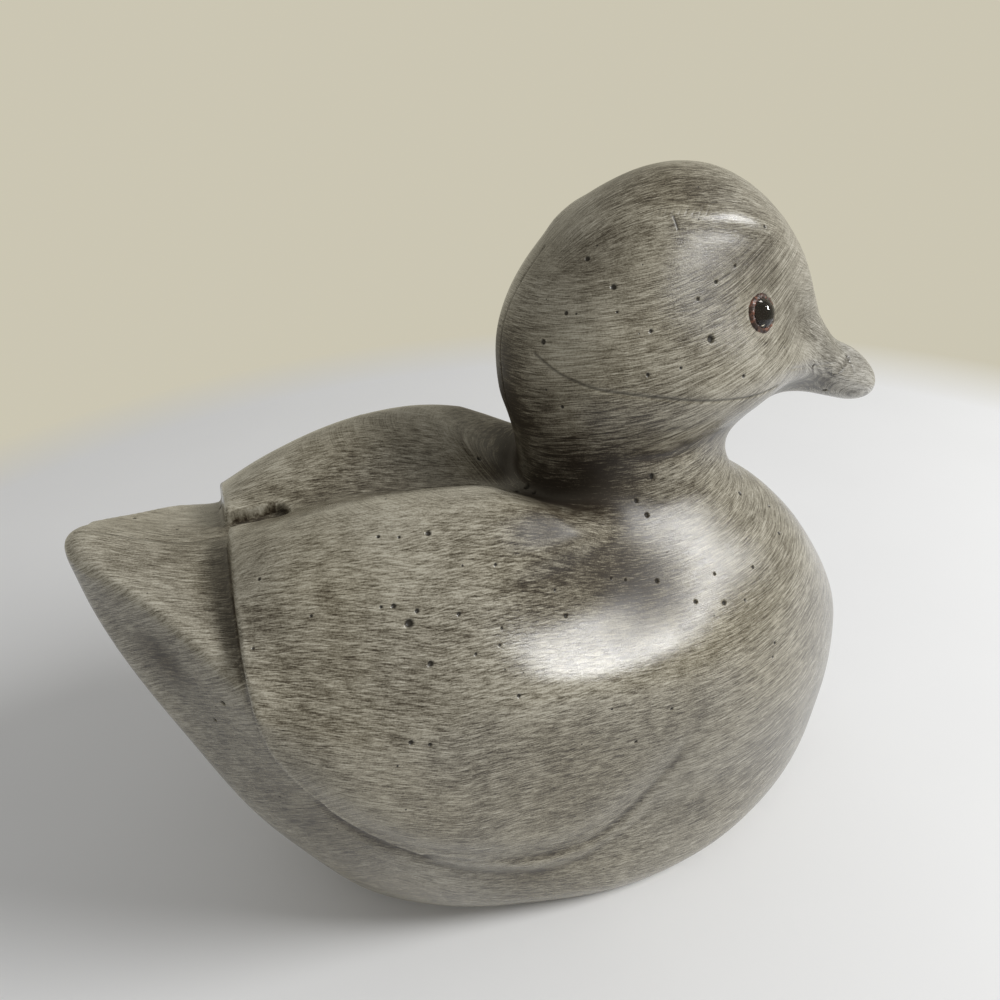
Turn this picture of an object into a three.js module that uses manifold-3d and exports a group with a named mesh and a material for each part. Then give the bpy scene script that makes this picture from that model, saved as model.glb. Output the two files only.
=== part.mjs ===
// A resin duck figurine: a body casting and a head casting on a hidden dowel, domed glass eyes
// set in putty, and a felt pad let into the base. Millimetres, +Z up, bill along +X, the duck's
// left side along +Y. The origin is on the standing surface, under the middle of the length.
import * as THREE from "three";
import { mergeVertices } from "three/addons/utils/BufferGeometryUtils.js";
import Module from "manifold-3d";

const wasm = await Module();
wasm.setup();

// Body casting, and the neck joint on it
const BODY_LENGTH = 240;
const BODY_WIDTH = 126;
const BODY_HEIGHT = 140;
const NECK_TO_BREAST = 86.5;
const NECK_SEAT_DROP = 18;
const NECK_LENGTH = 61;
const NECK_WIDTH = 53;
const JOINT_GAP = 0.3;

// Head casting: the bill tip's reach is measured forward from the middle of the neck, and the
// upright part of the neck rises from its seat until it is inside the head's form
const HEAD_LENGTH = 130;
const HEAD_WIDTH = 69;
const HEAD_HEIGHT = 87;
const BILL_REACH = 95;
const NECK_RISE = 25;

// Dowel between head and body
const DOWEL_DIAMETER = 12;
const DOWEL_LENGTH = 44;
const DOWEL_CLEARANCE = 0.3;
const DOWEL_CHAMFER = 1;

// Folded wings: how proud they stand of the body, and the slot between their tips
const WING_TIP_LIFT = 6;
const WING_EDGE_LIFT = 3;
const WING_TIP_SHARE = 0.15;
const WING_FRONT_SINK = 0.6;
const SLOT_WIDTH = 9;
const SLOT_LENGTH = 18;

// Collar of the body casting, which sweeps up to the neck: how high above the seat it climbs at
// the nape and throat and at the sides, how far out it reaches, and how thick its upper lip is
const COLLAR_TOP_ENDS = 1;
const COLLAR_TOP_SIDES = 10;
const COLLAR_REACH = 16;
const COLLAR_LIP = 1;

// Shallow dishes beside the neck, ahead of the wings
const DISH_DEPTH = 3;
const DISH_RADIUS = 17;
const DISH_FORWARD = -12;
const DISH_ASIDE = 47;
const DISH_ABOVE_SEAT = -10;

// Felt pad, which stands proud of its recess so that the duck stands on it
const PAD_LENGTH = 112;
const PAD_WIDTH = 60;
const PAD_THICKNESS = 2;
const PAD_PROUD = 0.5;
const PAD_FORWARD_OF_MIDDLE = 14;
const PAD_CLEARANCE = 0.3;

// Eyes: domed glass over an enamel iris and pupil, all in a cup of setting putty
const EYE_BEHIND_BILL_TIP = 65;
const EYE_ABOVE_SEAT = 50.5;
const GLASS_DIAMETER = 8;
const GLASS_DOME = 2.4;
const GLASS_RIM = 1;
const ENAMEL_THICKNESS = 0.6;
const PUPIL_DIAMETER = 4.4;
const PUTTY_WALL = 0.9;
const PUTTY_FLOOR = 1.2;
const PUTTY_PROUD = 0.5;
const EYE_GAP = 0.3;

// How finely the castings and the turned pieces are divided
const BODY_STATIONS = 48;
const BODY_POINTS = 48;
const HEAD_STATIONS = 40;
const HEAD_POINTS = 40;
const CURVE_STEPS = 12;
const NECK_POINTS = 48;
const COLLAR_STEPS = 5;
const TURNED_SEGMENTS = 24;
const DOME_STEPS = 5;

// Frames of the body, from the tail end to the breast, drawn in any unit: fitFrames gives them
// the real size. Each has its station, then its points from the middle of the back over the wing
// mound's crest, the upper side, the widest line, the lower side and the base edge to the keel.
// A point is [half breadth, height].
const BODY_FRAMES = [
  [-125, [[0, 138], [0, 138], [0, 138], [0, 138], [0, 138], [0, 138], [0, 138]]],
  [-118, [[0, 139], [5, 138], [9, 137], [12.5, 135], [12.5, 119.5], [11, 102], [0, 96]]],
  [-110, [[0, 135], [7, 134], [14.5, 132.5], [20.5, 131], [20, 105], [16, 79], [0, 72]]],
  [-98, [[0, 130], [11, 129], [23, 127], [35.5, 122], [33, 88], [24.5, 51], [0, 37]]],
  [-88, [[0, 129], [15, 127.5], [30, 123.5], [46.5, 112], [42.5, 78], [31, 38], [0, 15.5]]],
  [-75, [[0, 128.5], [20, 133.5], [38, 124.5], [54.5, 100], [50, 62.5], [35, 19], [0, -3]]],
  [-55, [[0, 129.5], [26, 139], [46, 122], [61, 91.5], [57, 52.5], [42, 8], [0, -6.5]]],
  [-25, [[0, 126], [31, 140], [51, 117.5], [63, 83.5], [60.5, 46], [50, 3], [0, -7]]],
  [5, [[0, 120], [31, 134], [51, 114], [63, 79.5], [61, 42], [55, 1], [0, -7]]],
  [35, [[0, 119.5], [26, 120], [47, 104], [61, 74], [59.5, 40], [53.5, 2], [0, -7]]],
  [60, [[0, 121], [19.5, 117.5], [40.5, 103.5], [54.5, 71], [53.5, 38], [45.5, 3], [0, -7]]],
  [80, [[0, 108.5], [17.5, 104.5], [34, 92], [44, 62], [43, 33], [34.5, 2.5], [0, -6]]],
  [96, [[0, 87.5], [14.5, 84.5], [27, 72], [31.5, 51], [30, 28.5], [22.5, 3], [0, -3]]],
  [108, [[0, 67], [9.5, 64.5], [16, 57], [18, 45.5], [17, 31], [12, 16], [0, 9]]],
  [115, [[0, 44.5], [0, 44.5], [0, 44.5], [0, 44.5], [0, 44.5], [0, 44.5], [0, 44.5]]],
];

// Frames of the head, from the nape to the bill tip: crown, crown ridge, temple, cheek, jowl and
// throat. Heights are above the neck's seat.
const HEAD_FRAMES = [
  [-6.5, [[0, 44], [0, 44], [0, 44], [0, 44], [0, 44], [0, 44]]],
  [-2.5, [[0, 57], [4, 56.5], [12, 47], [14.5, 35.5], [11.5, 23], [0, 19]]],
  [3.5, [[0, 65], [6, 64.5], [20, 51], [25, 34.5], [19.5, 17], [0, 11.5]]],
  [12.5, [[0, 74.5], [8.5, 72.5], [25.5, 55], [30.5, 33.5], [22, 14], [0, 5.5]]],
  [25.5, [[0, 82.5], [14, 77.5], [28.5, 56.5], [33.5, 32.5], [24, 13], [0, 1]]],
  [42.5, [[0, 87], [17, 78], [28, 55], [34.5, 32.5], [22.5, 15], [0, 0.5]]],
  [58.5, [[0, 84.5], [17.5, 74.5], [25, 51], [31.5, 32.5], [18.5, 16.5], [0, 2]]],
  [70.5, [[0, 77.5], [16, 68], [20.5, 47], [25.5, 32], [14, 19], [0, 7.5]]],
  [82.5, [[0, 65], [12.5, 56.5], [15, 41], [18.5, 29.5], [9, 19.5], [0, 13]]],
  [93, [[0, 45.5], [8, 38.5], [12, 32], [13.5, 23.5], [7, 16.5], [0, 12.5]]],
  [103.5, [[0, 31], [6.5, 26], [10.5, 22.5], [11.5, 16.5], [7, 11.5], [0, 9.5]]],
  [114.5, [[0, 24], [6, 19], [9.5, 16], [10.5, 12], [6.5, 8], [0, 6]]],
  [120.5, [[0, 18.5], [4, 15.5], [6, 13.5], [6.5, 11], [4, 8.5], [0, 7]]],
  [123.5, [[0, 11], [0, 11], [0, 11], [0, 11], [0, 11], [0, 11]]],
];

// Side view of a wing's free edge, from the tip down the rear, along the flank and up where it
// fades out, drawn with the body's frames
const WING_EDGE = [
  [-82, 142], [-86, 134], [-88, 122], [-88, 106], [-84, 90], [-75, 73], [-61, 57],
  [-44, 43], [-24, 34], [-6, 38], [10, 50], [22, 65], [28, 80],
];

// Where the sizes above put things
const SEAT_Z = BODY_HEIGHT - NECK_SEAT_DROP;
const TOTAL_LENGTH = BODY_LENGTH - NECK_TO_BREAST + BILL_REACH;
const TAIL_X = -TOTAL_LENGTH / 2;
const BILL_X = TOTAL_LENGTH / 2;
const BREAST_X = TAIL_X + BODY_LENGTH;
const NECK_X = BREAST_X - NECK_TO_BREAST;

// Frames brought to a real length, width and height, with the first station at startX and height
// zero at baseZ
function fitFrames(frames, { startX, length, width, height, baseZ }) {
  const drawnStart = frames[0][0];
  const drawnLength = frames.at(-1)[0] - drawnStart;
  const drawnBreadth = Math.max(...frames.flatMap(([, points]) => points.map(([y]) => y)));
  const drawnHeight = Math.max(...frames.flatMap(([, points]) => points.map(([, z]) => z)));
  const place = (x, y, z) => ({
    x: startX + ((x - drawnStart) * length) / drawnLength,
    y: (y * width) / 2 / drawnBreadth,
    z: baseZ + (z * height) / drawnHeight,
  });
  const placed = frames.map(([x, points]) => points.map(([y, z]) => place(x, y, z)));
  return { place, placed };
}

const bodyFrames = fitFrames(BODY_FRAMES, {
  startX: TAIL_X, length: BODY_LENGTH, width: BODY_WIDTH, height: BODY_HEIGHT, baseZ: 0,
});
const headFrames = fitFrames(HEAD_FRAMES, {
  startX: BILL_X - HEAD_LENGTH, length: HEAD_LENGTH, width: HEAD_WIDTH, height: HEAD_HEIGHT,
  baseZ: SEAT_Z,
});

// Stations are spaced like equal turns of a half circle, which rounds both ends of a form
const turnOf = (share) => Math.acos(THREE.MathUtils.clamp(1 - 2 * share, -1, 1)) / Math.PI;
const shareOf = (turn) => (1 - Math.cos(Math.PI * turn)) / 2;

// Slopes of a smooth curve through values at rising knots
function knotSlopes(knots, values) {
  const last = knots.length - 1;
  const slope = (i) => (values[i + 1] - values[i]) / (knots[i + 1] - knots[i]);
  const slopes = values.map((_, i) => {
    if (i === 0 || i === last) return 0;
    const before = knots[i] - knots[i - 1];
    const after = knots[i + 1] - knots[i];
    return (slope(i - 1) * after + slope(i) * before) / (before + after);
  });
  slopes[0] = 1.5 * slope(0) - 0.5 * slopes[1];
  slopes[last] = 1.5 * slope(last - 1) - 0.5 * slopes[last - 1];
  return slopes;
}

// The smooth curve itself, as a function of the knot value
function smoothCurve(knots, values) {
  const slopes = knotSlopes(knots, values);
  return (at) => {
    const next = Math.max(1, knots.findIndex((knot) => knot >= at));
    const i = at > knots.at(-1) ? knots.length - 2 : next - 1;
    const step = knots[i + 1] - knots[i];
    const t = (at - knots[i]) / step;
    const nearNext = 3 * t ** 2 - 2 * t ** 3;
    const between = values[i] * (1 - nearNext) + values[i + 1] * nearNext;
    const leaving = slopes[i] * step * (t ** 3 - 2 * t ** 2 + t);
    const arriving = slopes[i + 1] * step * (t ** 3 - t ** 2);
    return between + leaving + arriving;
  };
}

// Points round a form at each station, from smooth guide lines through the frames and a closed
// curve round each
function ringsOf({ placed }, stations, pointsRound) {
  const startX = placed[0][0].x;
  const length = placed.at(-1)[0].x - startX;
  const knots = placed.map(([first]) => turnOf((first.x - startX) / length));
  const guides = placed[0].map((_, row) => ({
    y: smoothCurve(knots, placed.map((points) => points[row].y)),
    z: smoothCurve(knots, placed.map((points) => points[row].z)),
  }));
  return Array.from({ length: stations - 1 }, (_, i) => {
    const turn = (i + 1) / stations;
    const x = startX + length * shareOf(turn);
    const left = guides.map(({ y, z }) => new THREE.Vector3(x, y(turn), z(turn)));
    const right = left.slice(1, -1).reverse().map(({ y, z }) => new THREE.Vector3(x, -y, z));
    const section = new THREE.CatmullRomCurve3([...left, ...right], true, "centripetal");
    return Array.from({ length: pointsRound }, (_, k) => section.getPoint(k / pointsRound));
  });
}

// A closed skin over the rings, with a pole at each end
function skin(rings, startPole, endPole) {
  const count = rings[0].length;
  const points = [startPole, ...rings.flat(), endPole];
  const faces = [];
  const at = (ring, k) => 1 + ring * count + (k % count);
  for (let k = 0; k < count; k += 1) {
    faces.push(0, at(0, k), at(0, k + 1));
    faces.push(points.length - 1, at(rings.length - 1, k + 1), at(rings.length - 1, k));
    for (let ring = 0; ring < rings.length - 1; ring += 1) {
      faces.push(at(ring, k), at(ring + 1, k), at(ring, k + 1));
      faces.push(at(ring, k + 1), at(ring + 1, k), at(ring + 1, k + 1));
    }
  }
  const geometry = new THREE.BufferGeometry().setFromPoints(points).setIndex(faces);
  geometry.computeVertexNormals();
  return geometry;
}

const poleOf = ([first]) => new THREE.Vector3(first.x, 0, first.z);

// A form's skin, with every point moved by what sculpt does to it, given the way the surface
// faces there
function formOf(frames, stations, pointsRound, sculpt) {
  const poles = [frames.placed[0], frames.placed.at(-1)].map(poleOf);
  const geometry = skin(ringsOf(frames, stations, pointsRound), ...poles);
  const position = geometry.getAttribute("position");
  const normal = geometry.getAttribute("normal");
  const point = new THREE.Vector3();
  const outward = new THREE.Vector3();
  for (let i = 0; i < position.count; i += 1) {
    point.fromBufferAttribute(position, i);
    outward.fromBufferAttribute(normal, i);
    sculpt(point, outward);
    position.setXYZ(i, point.x, point.y, point.z);
  }
  return geometry;
}

// A geometry as a solid for joining and cutting, and back again
function solidOf(geometry) {
  const bare = geometry.clone();
  bare.deleteAttribute("normal");
  bare.deleteAttribute("uv");
  const merged = mergeVertices(bare);
  return new wasm.Manifold(
    new wasm.Mesh({
      numProp: 3,
      vertProperties: new Float32Array(merged.getAttribute("position").array),
      triVerts: new Uint32Array(merged.index.array),
    }),
  );
}

function geometryOf(solid) {
  const mesh = solid.getMesh();
  const geometry = new THREE.BufferGeometry()
    .setAttribute("position", new THREE.BufferAttribute(new Float32Array(mesh.vertProperties), 3))
    .setIndex(new THREE.BufferAttribute(new Uint32Array(mesh.triVerts), 1));
  geometry.computeVertexNormals();
  return geometry;
}

// An upright prism over a plan outline, from lowZ to highZ
function prism(shape, lowZ, highZ, curveSegments = CURVE_STEPS) {
  const geometry = new THREE.ExtrudeGeometry(shape, {
    depth: highZ - lowZ,
    bevelEnabled: false,
    curveSegments,
  });
  return solidOf(geometry.translate(0, 0, lowZ));
}

// A shape with straight sides along X and round ends
function stadiumShape(x, length, width) {
  const radius = width / 2;
  const half = length / 2 - radius;
  return new THREE.Shape()
    .absarc(x + half, 0, radius, -Math.PI / 2, Math.PI / 2, false)
    .absarc(x - half, 0, radius, Math.PI / 2, (3 * Math.PI) / 2, false);
}

// How far the wing stands proud of the body, falling from the tip's lift to nothing where the
// wing fades out
const wingStart = bodyFrames.place(Math.min(...WING_EDGE.map(([x]) => x)), 0, 0).x;
const wingEnd = bodyFrames.place(WING_EDGE.at(-1)[0], 0, 0).x;

function wingLift({ x }) {
  const share = (x - wingStart) / (wingEnd - wingStart);
  const tip = (WING_TIP_LIFT - WING_EDGE_LIFT) * Math.exp(-Math.max(share, 0) / WING_TIP_SHARE);
  return (WING_EDGE_LIFT + WING_FRONT_SINK) * (1 - share ** 3) - WING_FRONT_SINK + tip;
}

// How deep the dish beside the neck is at a point
function dishDepth({ x, y, z }) {
  const forward = x - NECK_X - DISH_FORWARD;
  const aside = Math.abs(y) - DISH_ASIDE;
  const away = Math.hypot(forward, aside, z - SEAT_Z - DISH_ABOVE_SEAT);
  return DISH_DEPTH * Math.exp(-((away / DISH_RADIUS) ** 2));
}

// The body's form, grown outwards by a lift
const bodyForm = (lift) =>
  formOf(bodyFrames, BODY_STATIONS, BODY_POINTS, (point, outward) => {
    point.addScaledVector(outward, lift(point) - dishDepth(point));
  });

const bareBody = bodyForm(() => 0);

// Both wings as one solid, which is the body grown by the wings' lift and kept inside their outline
function makeWings() {
  const grown = bodyForm(wingLift);
  const edge = WING_EDGE.map(([x, z]) => {
    const { x: realX, z: realZ } = bodyFrames.place(x, 0, z);
    return new THREE.Vector2(realX, realZ);
  });
  const top = 2 * BODY_HEIGHT;
  const outline = new THREE.Shape()
    .moveTo(edge[0].x, top)
    .lineTo(edge[0].x, edge[0].y)
    .splineThru(edge.slice(1))
    .lineTo(edge.at(-1).x, top);
  const slab = new THREE.ExtrudeGeometry(outline, {
    depth: 2 * BODY_WIDTH,
    bevelEnabled: false,
    curveSegments: CURVE_STEPS,
  });
  slab.rotateX(Math.PI / 2).translate(0, BODY_WIDTH, 0);
  const slot = prism(stadiumShape(wingStart, 2 * SLOT_LENGTH, SLOT_WIDTH), 0, top);
  return solidOf(grown).intersect(solidOf(slab)).subtract(slot);
}

// A point on the neck's oval or some way outside it, counted round from the front
function onNeck(k, out) {
  const angle = (2 * Math.PI * k) / NECK_POINTS;
  return new THREE.Vector2(
    NECK_X + (NECK_LENGTH / 2 + out) * Math.cos(angle),
    (NECK_WIDTH / 2 + out) * Math.sin(angle),
  );
}

const neckPoints = Array.from({ length: NECK_POINTS }, (_, k) => k);
const neckShape = (clearance) => new THREE.Shape(neckPoints.map((k) => onNeck(k, clearance)));

// The collar as a solid: hollow-curved from the neck's wall down to the back, whose heights a ray finds
function makeCollar() {
  const back = new THREE.Mesh(bareBody, new THREE.MeshBasicMaterial());
  const down = new THREE.Vector3(0, 0, -1);
  const onBack = (k, out) => {
    const { x, y } = onNeck(k, out);
    const above = new THREE.Vector3(x, y, 2 * BODY_HEIGHT);
    return new THREE.Raycaster(above, down).intersectObject(back)[0].point;
  };
  const lip = JOINT_GAP + COLLAR_LIP;
  const feet = neckPoints.map((k) => {
    const sideways = Math.sin((2 * Math.PI * k) / NECK_POINTS) ** 2;
    const top = SEAT_Z + THREE.MathUtils.lerp(COLLAR_TOP_ENDS, COLLAR_TOP_SIDES, sideways);
    return { top, foot: onBack(k, COLLAR_REACH).z };
  });
  const rings = Array.from({ length: COLLAR_STEPS + 1 }, (_, i) => {
    const turn = (Math.PI / 2) * (i / COLLAR_STEPS);
    const out = THREE.MathUtils.lerp(COLLAR_REACH, lip, Math.cos(turn));
    const height = ({ top, foot }) => THREE.MathUtils.lerp(top, foot, Math.sin(turn));
    return feet.map((ends, k) => onBack(k, out).setZ(height(ends)));
  });
  const underside = rings.at(-1).map((point) => point.clone().setZ(BODY_HEIGHT / 2));
  const axis = (z) => new THREE.Vector3(NECK_X, 0, z);
  return solidOf(skin([...rings, underside], axis(SEAT_Z), axis(BODY_HEIGHT / 2)));
}

// Everything below a level
function below(z) {
  const reach = 2 * BODY_LENGTH;
  return solidOf(new THREE.BoxGeometry(reach, reach, reach).translate(0, 0, z - reach / 2));
}

const dowelBore = (clearance) =>
  solidOf(
    new THREE.CylinderGeometry(
      DOWEL_DIAMETER / 2 + clearance,
      DOWEL_DIAMETER / 2 + clearance,
      DOWEL_LENGTH + 2 * clearance,
      CURVE_STEPS,
    )
      .rotateX(Math.PI / 2)
      .translate(NECK_X, 0, SEAT_Z),
  );

const padShape = (clearance) =>
  stadiumShape(PAD_FORWARD_OF_MIDDLE, PAD_LENGTH + 2 * clearance, PAD_WIDTH + 2 * clearance);

// The head's form, grown outwards by a clearance
const grownHead = (clearance) =>
  formOf(headFrames, HEAD_STATIONS, HEAD_POINTS, (point, outward) => {
    point.addScaledVector(outward, clearance);
  });

const headForm = grownHead(0);

// The body: its form, wings and collar, cut flat for the base and clear of the head, with the
// neck's seat, the dowel's bore and the pad's recess
function makeBody() {
  const seat = prism(neckShape(JOINT_GAP), SEAT_Z, SEAT_Z + HEAD_HEIGHT);
  const recess = prism(padShape(PAD_CLEARANCE), -PAD_THICKNESS, PAD_THICKNESS);
  const solid = solidOf(bareBody)
    .add(makeWings())
    .add(makeCollar())
    .subtract(below(PAD_PROUD))
    .subtract(seat)
    .subtract(solidOf(grownHead(JOINT_GAP)))
    .subtract(dowelBore(DOWEL_CLEARANCE))
    .subtract(recess);
  return geometryOf(solid);
}

// The eye's place on the head's side, with the direction that the surface faces there
function eyeSeat(side) {
  const x = BILL_X - EYE_BEHIND_BILL_TIP;
  const z = SEAT_Z + EYE_ABOVE_SEAT;
  const inward = new THREE.Vector3(0, -side, 0);
  const head = new THREE.Mesh(headForm, new THREE.MeshBasicMaterial());
  const hit = (dx, dz) => {
    const from = new THREE.Vector3(x + dx, side * HEAD_WIDTH, z + dz);
    return new THREE.Raycaster(from, inward).intersectObject(head)[0].point;
  };
  const reach = GLASS_DIAMETER / 2 + PUTTY_WALL;
  const along = hit(reach, 0).sub(hit(-reach, 0));
  const up = hit(0, reach).sub(hit(0, -reach));
  const outward = along.cross(up).normalize();
  return { point: hit(0, 0), outward: outward.y * side < 0 ? outward.negate() : outward };
}

// Depths in an eye, measured along its axis from the head's surface
const cupRadius = GLASS_DIAMETER / 2 + EYE_GAP + PUTTY_WALL;
const glassBack = PUTTY_PROUD - GLASS_RIM;
const enamelBack = glassBack - EYE_GAP - ENAMEL_THICKNESS;
const cupBottom = enamelBack - EYE_GAP - PUTTY_FLOOR;

function turned(profile) {
  const points = profile.map(([r, z]) => new THREE.Vector2(r, z));
  return new THREE.LatheGeometry(points, TURNED_SEGMENTS).rotateX(Math.PI / 2);
}

// Plano-convex glass: a thin upright rim under a shallow dome
function makeGlass() {
  const radius = GLASS_DIAMETER / 2;
  const sphere = (radius ** 2 + GLASS_DOME ** 2) / (2 * GLASS_DOME);
  const spread = Math.asin(radius / sphere);
  const dome = Array.from({ length: DOME_STEPS + 1 }, (_, i) => {
    const angle = spread * (1 - i / DOME_STEPS);
    const r = i === DOME_STEPS ? 0 : sphere * Math.sin(angle);
    return [r, PUTTY_PROUD + GLASS_DOME - sphere * (1 - Math.cos(angle))];
  });
  return turned([[0, glassBack], [radius, glassBack], ...dome]);
}

const makePupil = () =>
  turned([
    [0, enamelBack],
    [PUPIL_DIAMETER / 2, enamelBack],
    [PUPIL_DIAMETER / 2, enamelBack + ENAMEL_THICKNESS],
    [0, enamelBack + ENAMEL_THICKNESS],
  ]);

function makeIris() {
  const inner = PUPIL_DIAMETER / 2 + EYE_GAP;
  const outer = GLASS_DIAMETER / 2;
  const front = enamelBack + ENAMEL_THICKNESS;
  const start = [inner, enamelBack];
  return turned([start, [outer, enamelBack], [outer, front], [inner, front], start]);
}

// The putty's cup, with a rounded lip that stands a little proud of the head
function makePutty() {
  const inner = GLASS_DIAMETER / 2 + EYE_GAP;
  const floor = cupBottom + PUTTY_FLOOR;
  const lip = Array.from({ length: DOME_STEPS + 1 }, (_, i) => {
    const angle = (Math.PI * i) / DOME_STEPS;
    return [inner + (PUTTY_WALL / 2) * (1 + Math.cos(angle)), PUTTY_PROUD * Math.sin(angle)];
  });
  return turned([[0, cupBottom], [cupRadius, cupBottom], ...lip, [inner, floor], [0, floor]]);
}

// The socket that a cup sits in, as a plug to cut from the head
function socketPlug({ point, outward }) {
  const depth = PUTTY_PROUD + GLASS_DOME - cupBottom;
  const radius = cupRadius + EYE_GAP;
  const plug = new THREE.CylinderGeometry(radius, radius, 2 * depth, TURNED_SEGMENTS)
    .rotateX(Math.PI / 2)
    .translate(0, 0, cupBottom - EYE_GAP + depth);
  const turn = new THREE.Quaternion().setFromUnitVectors(new THREE.Vector3(0, 0, 1), outward);
  return solidOf(plug.applyQuaternion(turn).translate(point.x, point.y, point.z));
}

const eyeSeats = { left: eyeSeat(1), right: eyeSeat(-1) };

// The head: its form on the neck's oval, cut flat at the seat, with the dowel's bore and the eye
// sockets
function makeHead() {
  const neck = prism(neckShape(0), SEAT_Z, SEAT_Z + NECK_RISE);
  const solid = solidOf(headForm)
    .add(neck)
    .subtract(below(SEAT_Z))
    .subtract(dowelBore(DOWEL_CLEARANCE))
    .subtract(socketPlug(eyeSeats.left))
    .subtract(socketPlug(eyeSeats.right));
  return geometryOf(solid);
}

function makeDowel() {
  const radius = DOWEL_DIAMETER / 2;
  const half = DOWEL_LENGTH / 2;
  const profile = [
    [0, -half],
    [radius - DOWEL_CHAMFER, -half],
    [radius, DOWEL_CHAMFER - half],
    [radius, half - DOWEL_CHAMFER],
    [radius - DOWEL_CHAMFER, half],
    [0, half],
  ];
  return turned(profile);
}

const makePad = () => geometryOf(prism(padShape(0), 0, PAD_THICKNESS));

const finish = (color, roughness) => new THREE.MeshStandardMaterial({ color, roughness });

const resin = () => finish(0x8b867b, 0.5);
const bareWood = () => finish(0xb99a6b, 0.8);
const felt = () => finish(0x2f3532, 1);
const glass = () => finish(0x2a1b14, 0.05);
const irisEnamel = () => finish(0x4a2a1a, 0.4);
const pupilEnamel = () => finish(0x0b0a0a, 0.3);
const putty = () => finish(0x8f4a33, 0.7);

function piece(name, geometry, material) {
  const mesh = new THREE.Mesh(geometry, material);
  mesh.name = name;
  return mesh;
}

function makeEye(side) {
  const { point, outward } = eyeSeats[side];
  const eye = new THREE.Group();
  eye.add(piece("eye_putty_" + side, makePutty(), putty()));
  eye.add(piece("eye_iris_" + side, makeIris(), irisEnamel()));
  eye.add(piece("eye_pupil_" + side, makePupil(), pupilEnamel()));
  eye.add(piece("eye_glass_" + side, makeGlass(), glass()));
  eye.position.copy(point);
  eye.quaternion.setFromUnitVectors(new THREE.Vector3(0, 0, 1), outward);
  return eye;
}

const duck = new THREE.Group();
duck.add(piece("body", makeBody(), resin()));
duck.add(piece("head", makeHead(), resin()));
const dowel = piece("neck_dowel", makeDowel(), bareWood());
dowel.position.set(NECK_X, 0, SEAT_Z);
duck.add(dowel);
duck.add(piece("base_pad", makePad(), felt()));
duck.add(makeEye("left"));
duck.add(makeEye("right"));

export default duck;
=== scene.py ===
import math

import bmesh
import bpy
import numpy as np
from mathutils import Matrix, Vector, noise
from mathutils.bvhtree import BVHTree


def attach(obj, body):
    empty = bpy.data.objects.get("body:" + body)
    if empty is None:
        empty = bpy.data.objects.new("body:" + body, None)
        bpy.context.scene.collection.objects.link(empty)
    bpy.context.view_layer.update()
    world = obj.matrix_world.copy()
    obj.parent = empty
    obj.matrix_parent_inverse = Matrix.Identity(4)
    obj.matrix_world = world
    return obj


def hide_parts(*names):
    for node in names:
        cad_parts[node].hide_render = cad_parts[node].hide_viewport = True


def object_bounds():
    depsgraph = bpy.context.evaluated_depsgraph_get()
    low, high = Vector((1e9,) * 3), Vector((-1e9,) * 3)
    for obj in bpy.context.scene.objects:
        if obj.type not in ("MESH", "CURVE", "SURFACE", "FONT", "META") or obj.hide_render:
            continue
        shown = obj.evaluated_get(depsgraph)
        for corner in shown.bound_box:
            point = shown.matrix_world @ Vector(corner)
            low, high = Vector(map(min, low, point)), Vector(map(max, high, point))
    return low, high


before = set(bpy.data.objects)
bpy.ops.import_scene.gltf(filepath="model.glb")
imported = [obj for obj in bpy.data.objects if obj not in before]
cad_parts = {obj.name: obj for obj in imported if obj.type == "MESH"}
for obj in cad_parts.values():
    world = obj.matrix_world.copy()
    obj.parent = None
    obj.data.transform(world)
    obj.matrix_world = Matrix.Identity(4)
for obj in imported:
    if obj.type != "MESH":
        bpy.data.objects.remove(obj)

cad_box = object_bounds()
MM = 0.001

# The photograph's camera: its place in millimetres, where it looks, its right-hand side, and its focal length
# as a share of the picture's width
CAMERA_PLACE = (-72.9, -197.3, 239.8)
CAMERA_FORWARD = Vector((0.2676, 0.8236, -0.5)).normalized()
CAMERA_RIGHT = Vector((0.9372, -0.343, -0.0634)).normalized()
CAMERA_UP = CAMERA_RIGHT.cross(CAMERA_FORWARD).normalized()
FOCAL_SHARE = 0.8
FRAME_PIXELS = 1000
SENSOR_WIDTH = 36

# The castings' mesh, and the neck's oval where it stands on its seat, in millimetres
VOXEL = 0.8
SEAT_Z = 122.0
NECK_MIDDLE = 29.25
NECK_HALF_LENGTH = 30.5
NECK_HALF_WIDTH = 26.5
NECK_SPAN = 28.0

# The block that fills the joint: how far it stands outside the oval, its half height, and its rise at the
# sides. The core inside it closes the dowel's bore
PLUG_MARGIN = 0.9
PLUG_HALF_HEIGHT = 12
PLUG_RISE = 9
CORE_RADIUS = 8
CORE_LENGTH = 48

# Round the neck, by angle in degrees from the front: how steeply the shoulders may rise outwards, how far out
# and how high the film of filler reaches, and the height of the joint between the castings
SHOULDER_SLOPE = ((0, 120, 140, 160, 180), (0.56, 0.56, 0.68, 0.85, 0.85))
FILM_REACH = ((0, 40, 70, 95, 117, 135, 150, 165, 180), (17, 18, 20, 20, 16, 12, 9, 7, 6))
FILM_TOP = ((0, 27, 60, 90, 105, 117, 135, 150, 180), (132, 133, 134, 133, 130.5, 128, 125.5, 124.5, 124))
JOINT = ((0, 27, 60, 90, 105, 117, 150, 165, 180), (130, 131.5, 132.5, 132.5, 132, 132, 131.5, 130, 129))

# How far out and up the shoulders are lowered, between which heights the film lies, and how far into the neck
# it starts
SHOULDER_REACH = 45.0
SHOULDER_TOP = 146.0
FILM_HEIGHTS = (85.0, 140.0)
FILM_INSIDE = -7.0

# Behind the neck's foot the body stays below this height, and the head's cheeks above it
BACK_SPLIT = 144.5

# Edges of the body that stay crisp: sharper than this angle in degrees, round the base or on the tail
CRISP_ANGLE = 32
CRISP_REACH = 6.0
BASE_TOP = 4.0
TAIL_FRONT = -52.0
TAIL_BOTTOM = 55.0

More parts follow.
